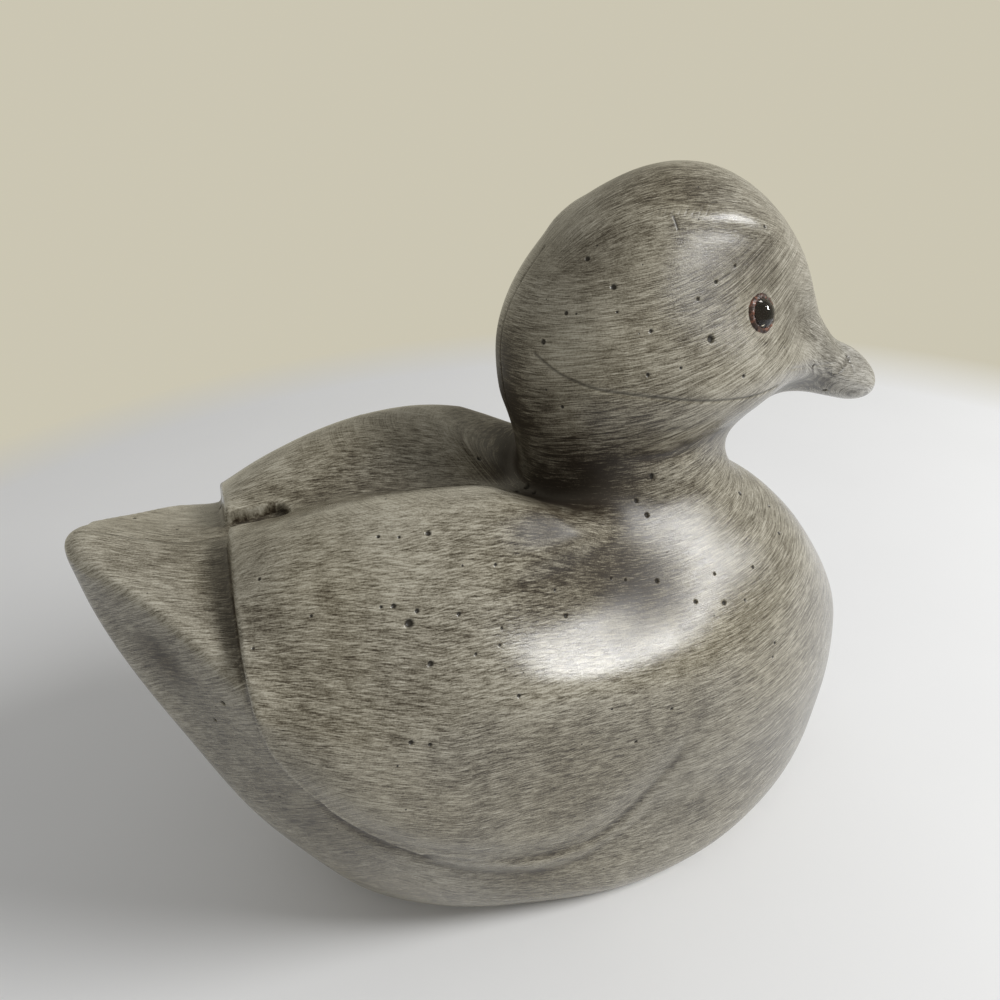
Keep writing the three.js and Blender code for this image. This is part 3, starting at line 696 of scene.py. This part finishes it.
def marked_mesh(skin, guides):
    """The surface as a mesh, made finer at the fine marks and pits, and cut by them."""
    lines = [(skin.trace(*knots), *terms) for knots, *terms in FINE_LINES]
    lines += [(middle_line(skin, *terms[:3]), *terms[3:], False) for terms in PARTING_LINES]
    for line, depth, width, dark, mirrored in lines[:]:
        if mirrored:
            lines.append(([p * Vector((1, -1, 1)) for p in line], depth, width, dark, False))
    lines = [(even_line(line, 0.4), *terms) for line, *terms in lines]

    rng = np.random.default_rng(7)
    spots = [(skin.seen_at(px, py), radius) for px, py, radius in PITS]
    for index in rng.integers(0, len(skin.co), SCATTERED_PITS):
        radius = rng.uniform(*SCATTERED_SIZES)
        _, y, z = skin.co[index]
        if z > 12 and (y > 8 or z > 100):
            spots.append((Vector(skin.co[index]), radius))

    mesh = new_mesh("casting", skin.co, skin.faces)
    for name, values in guides.items():
        vector = values.ndim == 2
        layer = mesh.attributes.new(name, "FLOAT_VECTOR" if vector else "FLOAT", "POINT")
        layer.data.foreach_set("vector" if vector else "value", values.astype(np.float32).ravel())
    places = np.array([place for place, _ in spots] + [p for line, *_ in lines for p in line])
    reach = np.array([1.7 * radius + 0.6 for _, radius in spots] + [1.3 for line, *_ in lines for _ in line])
    distance, nearest = skin.near(places, 2.6)
    bm = bmesh.new()
    bm.from_mesh(mesh)
    bm.verts.ensure_lookup_table()
    edges = {e for i in np.nonzero(distance < reach[nearest])[0] for e in bm.verts[i].link_edges}
    bmesh.ops.subdivide_edges(bm, edges=list(edges), cuts=3, use_grid_fill=True)
    bm.to_mesh(mesh)
    bm.free()
    mesh.update()

    co = read(mesh.vertices, "co") / MM
    normal = read(mesh.vertex_normals, "vector")
    # mark: the dark lines and pits, added to the eye pockets' painted shade
    mark = np.empty(len(co))
    mesh.attributes["mark"].data.foreach_get("value", mark)
    sunk = np.zeros(len(co))

    def cut(points, width, depth, dark, power):
        gap, _ = near(co, np.asarray(points), 3.0 * width)
        share = np.exp(-((np.minimum(gap, 9 * width) / width) ** power))
        sunk[:] = np.maximum(sunk, depth * share)
        mark[:] = np.maximum(mark, dark * share)

    for line, depth, width, dark, _ in lines:
        cut(line, width, depth, dark, 2)
    for radius in sorted({radius for _, radius in spots}):
        cut([place for place, r in spots if r == radius], radius, 0.75 * radius, 1.0, 4)
    mesh.attributes["mark"].data.foreach_set("value", mark.astype(np.float32))
    return mesh, co - sunk[:, None] * normal


def read(items, key):
    """Three numbers from each of a mesh's items."""
    values = np.empty(len(items) * 3)
    items.foreach_get(key, values)
    return values.reshape(-1, 3)


def above_joint(co):
    """Height of corners above the joint; below nought on the body."""
    angle, out = neck_terms(co)
    height = co[:, 2] - np.interp(angle, *JOINT) + np.interp(angle, (80, 100), (0.45, 0)) * np.maximum(out, 0)
    behind = (angle > 95) & (out > 5)
    return np.where(behind, co[:, 2] - BACK_SPLIT, height)


def castings(skin, guides):
    """Head and body as two closed meshes that share their edge and its shading."""
    mesh, co = marked_mesh(skin, guides)
    mesh.vertices.foreach_set("co", (co * MM).ravel())
    mesh.update()
    normal = read(mesh.vertex_normals, "vector")
    height = above_joint(co)
    slide = np.array((0, 0, 1)) - normal * normal[:, 2:]
    slide /= np.maximum((slide ** 2).sum(1), 0.3)[:, None]
    co = co - np.where(np.abs(height) < 0.6, height, 0)[:, None] * slide
    height = np.where(np.abs(height) < 0.6, 0, height)
    mesh.vertices.foreach_set("co", (co * MM).ravel())
    for name, side in (("head", 1), ("body", -1)):
        yield name, part_of(mesh, name + "_casting", side, height, normal)


def part_of(mesh, name, side, height, normal):
    """One side's part of the split surface, closed inside the joint, with the whole surface's normals."""
    part = mesh.copy()
    part.name = name
    bm = bmesh.new()
    bm.from_mesh(part)
    source = bm.verts.layers.int.new("source")
    for v in bm.verts:
        v[source] = v.index
    others = [f for f in bm.faces if side * sum(height[v.index] for v in f.verts) < 0]
    bmesh.ops.delete(bm, geom=others, context="FACES")
    rim = [e for e in bm.edges if e.is_boundary]
    middle = sum((v.co for e in rim for v in e.verts), Vector()) / (2 * len(rim))
    tip = bm.verts.new(middle + Vector((0, 0, side * 2 * MM)))
    for e in rim:
        loop = e.link_loops[0]
        bm.faces.new((loop.link_loop_next.vert, loop.vert, tip))
    bm.verts.index_update()
    sources = [v[source] for v in bm.verts]
    tip_index = tip.index
    bm.to_mesh(part)
    bm.free()
    part.shade_smooth()
    own = normal[sources]
    own[tip_index] = (0, 0, -side)
    part.normals_split_custom_set_from_vertices(own.tolist())
    return part


def eye_terms(side):
    """An eye's middle and axis, and along the axis the glass's back and top, with its radius."""
    middle, outward = axis_of_eye(side)
    gap = corners_of("eye_glass_" + side)[0] - np.array(middle)
    height = gap @ np.array(outward)
    radius = np.linalg.norm(gap - height[:, None] * np.array(outward), axis=1).max()
    return middle, outward, height.min(), height.max(), radius


def glass_mesh(side):
    """A lens: a short rim under a dome."""
    middle, outward, back, top, radius = eye_terms(side)
    shoulder = back + GLASS_RIM
    rise = top - shoulder
    sphere = (radius ** 2 + rise ** 2) / (2 * rise)
    spread = math.asin(radius / sphere)
    radius += 0.04
    profile = [(radius - 0.15, GLASS_BACK), (radius, GLASS_BACK + 0.15)]
    for i in range(17):
        angle = spread * (1 - i / 16)
        profile.append((max(sphere * math.sin(angle), 0.02), top - sphere * (1 - math.cos(angle))))
    return new_mesh("eye_lens_" + side, *turned(profile, 72, middle, outward))


def putty_mesh(side):
    """A lumpy ring of putty pressed round the glass, with a few squeezed-out beads."""
    middle, outward, back, _, radius = eye_terms(side)
    skin_level = back + GLASS_RIM / 2
    profile = [
        (radius + 0.05, back - 1.0),
        (radius + 0.05, skin_level + 0.3),
        (radius + 0.18, skin_level + 0.52),
        (radius + 0.42, skin_level + 0.6),
        (radius + 0.7, skin_level + 0.52),
        (radius + 0.95, skin_level + 0.33),
        (radius + 1.15, skin_level + 0.1),
        (radius + 1.4, skin_level - 0.25),
        (radius + 1.4, back - 1.0),
    ]
    around = 144
    points, faces = turned(profile[::-1], around, middle, outward, True)
    lid = (Vector((0, 0, 1)) - outward * outward.z).normalized()
    moved = []
    for i, point in enumerate(points):
        point = Vector(point)
        row, k = divmod(i, around)
        row = len(profile) - 1 - row
        if 1 < row < 7:
            gap = point - middle
            flat = (gap - outward * gap.dot(outward)).normalized()
            lump = noise.noise(point * 0.9) + 0.6 * noise.noise(point * 2.3)
            steps = [(k - at + around / 2) % around - around / 2 for at in BEADS]
            bead = sum(math.exp(-((step / 1.6) ** 2)) for step in steps)
            bead *= math.exp(-((row - 4.5) / 1.2) ** 2)
            point += outward * (0.22 * lump + 0.3 * bead) + flat * (0.3 * lump * (row > 4))
            point -= flat * (LID * flat.dot(lid) ** 2 * (row < 5))
        moved.append(tuple(point))
    return new_mesh("eye_setting_" + side, moved, faces)


class Paint:
    """A material whose nodes are added by short calls."""

    def __init__(self, name):
        self.material = bpy.data.materials.new(name)
        self.material.use_nodes = True
        self.tree = self.material.node_tree
        self.shader = self.tree.nodes["Principled BSDF"]

    def plug(self, value, socket):
        if isinstance(value, bpy.types.NodeSocket):
            self.tree.links.new(value, socket)
        else:
            socket.default_value = value

    def add(self, kind, values, out=0, **settings):
        node = self.tree.nodes.new("ShaderNode" + kind)
        for key, value in settings.items():
            setattr(node, key, value)
        for socket, value in values.items():
            self.plug(value, node.inputs[socket])
        return node.outputs[out]

    def set(self, **values):
        for socket, value in values.items():
            self.plug(value, self.shader.inputs[socket.replace("_", " ")])

    def attribute(self, name, vector=False):
        return self.add("Attribute", {}, "Vector" if vector else "Fac", attribute_name=name)

    def place(self, scale):
        """Object coordinates in millimetres times scale, which may differ by axis."""
        scale = (scale,) * 3 if isinstance(scale, (int, float)) else scale
        where = self.add("TexCoord", {}, "Object")
        return self.add("VectorMath", {0: where, 1: tuple(k / MM for k in scale)}, operation="MULTIPLY")

    def noise(self, vector, detail=3.0, roughness=0.55, scale=1.0, distortion=0.0):
        values = {"Vector": vector, "Scale": scale, "Detail": detail}
        return self.add("TexNoise", {**values, "Roughness": roughness, "Distortion": distortion})

    def math(self, operation, a, b=0.0, clamp=False):
        return self.add("Math", {0: a, 1: b}, operation=operation, use_clamp=clamp)

    def scaled_sum(self, value, factor, start):
        return self.add("Math", {0: value, 1: factor, 2: start}, operation="MULTIPLY_ADD")

    def sum_of(self, start, *terms):
        """start plus each (value, middle, factor) as (value - middle) * factor."""
        total = start
        for value, middle, factor in terms:
            total = self.scaled_sum(self.math("SUBTRACT", value, middle), factor, total)
        return total

    def remap(self, value, low, high, to_low=0.0, to_high=1.0):
        return self.add("MapRange", {0: value, 1: low, 2: high, 3: to_low, 4: to_high})

    def ramp(self, value, stops):
        node = self.tree.nodes.new("ShaderNodeValToRGB")
        self.plug(value, node.inputs[0])
        points = node.color_ramp.elements
        while len(points) < len(stops):
            points.new(0.5)
        for point, (at, colour) in zip(points, stops):
            point.position = at
            point.color = (*colour, 1)
        return node.outputs[0]

    def mix(self, share, a, b):
        colours = [v if isinstance(v, bpy.types.NodeSocket) else (*v, 1) for v in (a, b)]
        return self.add("Mix", {0: share, 6: colours[0], 7: colours[1]}, 2, data_type="RGBA")

    def bump(self, height, distance):
        self.set(Normal=self.add("Bump", {"Height": height, "Distance": distance, "Strength": 1.0}))


def resin():
    """Dry-brushed grey wash over a smooth casting, with painted shade and painted highlight in its tone."""
    paint = Paint("driftwood_wash_and_shading")
    share = paint.add("SeparateXYZ", {0: paint.attribute("share", True)}).node.outputs
    grains = [paint.attribute(name, True) for name in ("side_grain", "crown_grain", "ring_grain")]

    def strokes(scale, detail):
        total = 0.0
        for k, grain in enumerate(grains):
            total = paint.scaled_sum(paint.noise(grain, detail, 0.68, scale), share[k], total)
        return total

    thin = strokes(1.0, 4.0)
    thick = strokes(0.36, 3.0)
    for k, grain in enumerate(grains):
        along, across, _ = paint.add("SeparateXYZ", {0: grain}).node.outputs
        across = paint.scaled_sum(along, CROSS_SLOPE * STROKE_LENGTH / STROKE_WIDTH, across)
        grains[k] = paint.add("CombineXYZ", {0: along, 1: across, 2: 7.0})
    crossed = strokes(0.8, 4.0)
    cloud = paint.noise(paint.place(1 / 26), 4.0, 0.6)
    mottle = paint.noise(paint.place(1 / 5), 3.0, 0.6)
    grit = paint.noise(paint.place(2.2), 3.0, 0.7)
    fine = paint.attribute("fine")
    broad = paint.attribute("broad")
    wash_and_shading = paint.attribute("wash_and_shading")
    mark = paint.attribute("mark")
    hollow = paint.remap(broad, -0.25, 0.9, -0.25, 1.0)
    edge = paint.remap(fine, -0.5, 0.6, -0.5, 1.0)
    # Tone of brush strokes and noise, darkened and lightened by the wash's stain together with its painted
    # shade and painted highlight, darker in broad hollows and fine creases, and paler on sharp rises
    tone = paint.sum_of(
        0.515, (thin, 0.5, 1.9), (crossed, 0.5, 1.7), (thick, 0.5, 0.35),
        (cloud, 0.5, 0.5), (mottle, 0.5, 0.4), (grit, 0.5, 0.9),
        (wash_and_shading, 0.0, -0.32), (hollow, 0.0, -0.22), (edge, 0.0, -0.2),
    )
    colour = paint.ramp(tone, (
        (0.0, (0.02, 0.013, 0.007)), (0.22, (0.075, 0.06, 0.038)), (0.5, (0.2, 0.178, 0.127)),
        (0.75, (0.33, 0.3, 0.228)), (1.0, (0.46, 0.43, 0.34)),
    ))
    cool = paint.math("MULTIPLY", paint.remap(paint.noise(paint.place(1 / 60), 2.0), 0.4, 0.6), 0.25)
    forward = paint.add("SeparateXYZ", {0: paint.place(1.0)}).node.outputs[0]
    cool = paint.math("ADD", cool, paint.remap(forward, 40.0, 110.0, 0.0, 0.75), clamp=True)
    grey = paint.add("HueSaturation", {"Color": colour, "Saturation": 0.45, "Value": 1.02})
    colour = paint.mix(cool, colour, grey)
    speck = paint.add("TexVoronoi", {"Vector": paint.place(1 / 4.2), "Scale": 1.0}, "Distance")
    pick = paint.add("SeparateColor", {0: speck.node.outputs["Color"]}).node.outputs
    size = paint.remap(pick[0], 0.62, 1.0, 0.0, 0.085)
    speck = paint.remap(paint.math("SUBTRACT", size, speck), -0.012, 0.012)
    # Near-black in random specks, pits, cracks and parting lines, and in the eye pockets, where it is painted
    # shade
    dark = paint.math("MAXIMUM", speck, paint.remap(mark, 0.1, 0.75))
    colour = paint.mix(dark, colour, (0.012, 0.009, 0.006))
    roughness = paint.sum_of(
        0.25, (thin, 0.5, 0.3), (mottle, 0.5, 0.12), (wash_and_shading, 0.0, 0.2), (hollow, 0.0, 0.12), (dark, 0.0, 0.3),
    )
    height = paint.sum_of(
        0.0, (thin, 0.5, 0.9), (crossed, 0.5, 0.6), (grit, 0.5, 0.6), (thick, 0.5, 0.4), (speck, 0.0, -1.5),
    )
    paint.bump(height, 0.00005)
    paint.set(Base_Color=colour, Roughness=roughness)
    return paint.material


def wood():
    """Pale turned wood with long grain."""
    paint = Paint("birch")
    grain = paint.noise(paint.place((1.2, 1.2, 0.05)), 5.0, 0.6)
    place = paint.place((0.35, 0.35, 0.02))
    rings = paint.add("TexWave", {"Vector": place, "Scale": 1.0, "Distortion": 3.0}, 1)
    tone = paint.sum_of(0.5, (grain, 0.5, 0.9), (rings, 0.5, 0.3))
    paint.bump(grain, 0.0002)
    colour = paint.ramp(tone, ((0.0, (0.33, 0.18, 0.075)), (1.0, (0.68, 0.47, 0.26))))
    paint.set(Base_Color=colour, Roughness=paint.remap(grain, 0.2, 0.8, 0.5, 0.75))
    return paint.material


def felt():
    """Dark green felt with matted fibres."""
    paint = Paint("felt")
    fibres = paint.noise(paint.place(1.6), 6.0, 0.75, distortion=1.5)
    tufts = paint.noise(paint.place(0.25), 3.0)
    tone = paint.sum_of(0.5, (fibres, 0.5, 1.2), (tufts, 0.5, 0.5))
    paint.bump(fibres, 0.0005)
    colour = paint.ramp(tone, ((0.0, (0.008, 0.02, 0.012)), (1.0, (0.05, 0.1, 0.065))))
    paint.set(Base_Color=colour, Roughness=paint.remap(fibres, 0.3, 0.7, 0.85, 1.0))
    paint.set(Sheen_Weight=0.4, Sheen_Roughness=0.5)
    return paint.material


def glass():
    """Clear glass, faintly swirled and scratched."""
    paint = Paint("eye_glass")
    swirl = paint.noise(paint.place(0.5), 2.0)
    scratch = paint.noise(paint.place((3.0, 3.0, 0.4)), 3.0)
    paint.bump(scratch, 0.000004)
    tint = paint.ramp(swirl, ((0.0, (0.92, 0.86, 0.8)), (1.0, (1.0, 0.97, 0.93))))
    paint.set(Base_Color=tint, Roughness=paint.remap(scratch, 0.4, 0.7, 0.015, 0.04))
    paint.set(Transmission_Weight=1.0, IOR=1.45)
    return paint.material


def turned_about(paint, middle, outward):
    """Place across an eye's axis, and millimetres from it, as sockets."""
    side = outward.orthogonal().normalized()
    other = outward.cross(side)
    gap = paint.add("VectorMath", {0: paint.place(1.0), 1: tuple(middle)}, operation="SUBTRACT")
    u = paint.add("VectorMath", {0: gap, 1: tuple(side)}, "Value", operation="DOT_PRODUCT")
    v = paint.add("VectorMath", {0: gap, 1: tuple(other)}, "Value", operation="DOT_PRODUCT")
    radius = paint.math("SQRT", paint.math("ADD", paint.math("MULTIPLY", u, u), paint.math("MULTIPLY", v, v)))
    return paint.add("CombineXYZ", {0: u, 1: v, 2: 0.0}), radius


def iris(side):
    """Red-brown enamel with fine rays, black towards the pupil."""
    paint = Paint("eye_iris_" + side)
    flat, radius = turned_about(paint, *axis_of_eye(side))
    ray = paint.add("VectorMath", {0: flat}, operation="NORMALIZE")
    rays = paint.noise(paint.add("VectorMath", {0: ray, 1: (9, 9, 9)}, operation="MULTIPLY"), 4.0, 0.7)
    blotch = paint.noise(paint.place(0.9), 3.0)
    tone = paint.sum_of(paint.remap(radius, 2.0, 3.9, 0.0, 0.75), (rays, 0.5, 0.7), (blotch, 0.5, 0.6))
    paint.set(Base_Color=paint.ramp(tone, (
        (0.0, (0.004, 0.002, 0.0015)), (0.5, (0.012, 0.005, 0.003)),
        (0.72, (0.09, 0.025, 0.012)), (1.0, (0.4, 0.13, 0.055)),
    )))
    paint.bump(rays, 0.00005)
    paint.set(Roughness=paint.remap(blotch, 0.3, 0.7, 0.3, 0.5), Specular_IOR_Level=0.0)
    return paint.material


def pupil(side):
    """Black enamel, barely clouded."""
    paint = Paint("eye_pupil_" + side)
    cloud = paint.noise(paint.place(1.4), 3.0)
    paint.bump(cloud, 0.00002)
    colour = paint.ramp(cloud, ((0.0, (0.002, 0.0015, 0.001)), (1.0, (0.012, 0.007, 0.005))))
    paint.set(Base_Color=colour, Roughness=paint.remap(cloud, 0.3, 0.7, 0.3, 0.5), Specular_IOR_Level=0.0)
    return paint.material


def putty():
    """Setting putty, stained red-brown and rubbed with the wash."""
    paint = Paint("eye_putty")
    lump = paint.noise(paint.place(0.8), 4.0, 0.65)
    stain = paint.noise(paint.place(0.45), 3.0, 0.6)
    tone = paint.sum_of(0.5, (lump, 0.5, 1.3), (stain, 0.5, 1.2))
    colour = paint.ramp(tone, (
        (0.0, (0.015, 0.008, 0.006)), (0.5, (0.045, 0.019, 0.012)), (0.68, (0.19, 0.065, 0.033)),
        (0.85, (0.28, 0.16, 0.1)), (1.0, (0.5, 0.42, 0.36)),
    ))
    paint.bump(lump, 0.0003)
    paint.set(Base_Color=colour, Roughness=paint.remap(lump, 0.3, 0.7, 0.2, 0.5))
    return paint.material


def dress(node, material):
    """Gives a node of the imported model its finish."""
    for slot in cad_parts[node].material_slots:
        slot.material = material


def build_duck():
    """The duck's pieces, each riding on its body and standing for its solid."""
    skin, deep = model_casting()
    finish = resin()
    for name, mesh in castings(skin, paint_guides(skin, deep)):
        piece = new_piece(name + "_casting", mesh, finish)
        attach(piece, "root")
        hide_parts(name)
    clear, setting = glass(), putty()
    for side in ("left", "right"):
        lens = new_piece("eye_lens_" + side, glass_mesh(side), clear)
        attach(lens, "root")
        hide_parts("eye_glass_" + side)
        ring = new_piece("eye_setting_" + side, putty_mesh(side), setting)
        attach(ring, "root")
        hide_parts("eye_putty_" + side)
        dress("eye_iris_" + side, iris(side))
        dress("eye_pupil_" + side, pupil(side))
    dress("neck_dowel", wood())
    dress("base_pad", felt())


def lamp(name, place, aim, size, power, colour):
    """A round lamp that faces a point."""
    light = bpy.data.objects.new(name, bpy.data.lights.new(name, "AREA"))
    light.data.shape = "DISK"
    light.data.size = size
    light.data.energy = power
    light.data.color = colour
    light.location = place
    light.rotation_euler = (Vector(aim) - Vector(place)).to_track_quat("-Z", "Y").to_euler()
    bpy.context.scene.collection.objects.link(light)


def backdrop_share(tree):
    """1 for what the camera, mirrors and glass see, 0 for what lights the duck."""
    path = tree.nodes.new("ShaderNodeLightPath")
    total = path.outputs["Is Camera Ray"]
    for name in ("Is Glossy Ray", "Is Transmission Ray"):
        add = tree.nodes.new("ShaderNodeMath")
        add.operation = "MAXIMUM"
        tree.links.new(total, add.inputs[0])
        tree.links.new(path.outputs[name], add.inputs[1])
        total = add.outputs[0]
    return total


def build_studio():
    """A pale floor that runs into a pale backdrop, a soft key lamp and an even sky."""
    paint = Paint("floor")
    grain = paint.noise(paint.place(1 / 90), 2.0)
    colour = paint.ramp(grain, ((0.0, (0.84, 0.84, 0.835)), (1.0, (0.88, 0.88, 0.875))))
    paint.set(Base_Color=colour, Roughness=0.6)
    away = paint.add("VectorMath", {0: paint.place(1.0)}, "Value", operation="LENGTH")
    fade = paint.math("MULTIPLY", paint.remap(away, *FLOOR_FADE), backdrop_share(paint.tree))
    far = paint.add("Emission", {"Color": (*BACKDROP, 1)})
    mixed = paint.add("MixShader", {0: fade, 1: paint.shader.outputs[0], 2: far})
    paint.tree.links.new(mixed, paint.tree.nodes["Material Output"].inputs["Surface"])
    half = FLOOR_SIZE / 2
    corners = [(-half, -half, 0), (half, -half, 0), (half, half, 0), (-half, half, 0)]
    floor = new_piece("floor", new_mesh("floor", corners, [(0, 1, 2, 3)], False), paint.material)

    lamp("key", KEY_PLACE, KEY_AIM, KEY_SIZE, KEY_POWER, KEY_COLOUR)
    world = bpy.data.worlds.new("studio")
    world.use_nodes = True
    tree = world.node_tree
    sky = tree.nodes["Background"]
    sky.inputs["Color"].default_value = (1, 1, 1, 1)
    sky.inputs["Strength"].default_value = SKY
    seen = tree.nodes.new("ShaderNodeBackground")
    seen.inputs["Color"].default_value = (*BACKDROP, 1)
    both = tree.nodes.new("ShaderNodeMixShader")
    tree.links.new(backdrop_share(tree), both.inputs[0])
    tree.links.new(sky.outputs[0], both.inputs[1])
    tree.links.new(seen.outputs[0], both.inputs[2])
    tree.links.new(both.outputs[0], tree.nodes["World Output"].inputs["Surface"])
    bpy.context.scene.world = world


def place_camera():
    """The photograph's view."""
    camera = bpy.data.objects.new("camera", bpy.data.cameras.new("camera"))
    camera.data.sensor_width = SENSOR_WIDTH
    camera.data.lens = SENSOR_WIDTH * FOCAL_SHARE
    camera.data.clip_start = 0.01
    turn = Matrix((CAMERA_RIGHT, CAMERA_UP, -CAMERA_FORWARD)).transposed()
    camera.matrix_world = Matrix.Translation(Vector(CAMERA_PLACE) * MM) @ turn.to_4x4()
    bpy.context.scene.collection.objects.link(camera)
    bpy.context.scene.camera = camera


build_duck()
build_studio()
place_camera()
bpy.context.scene.view_settings.view_transform = "Standard"
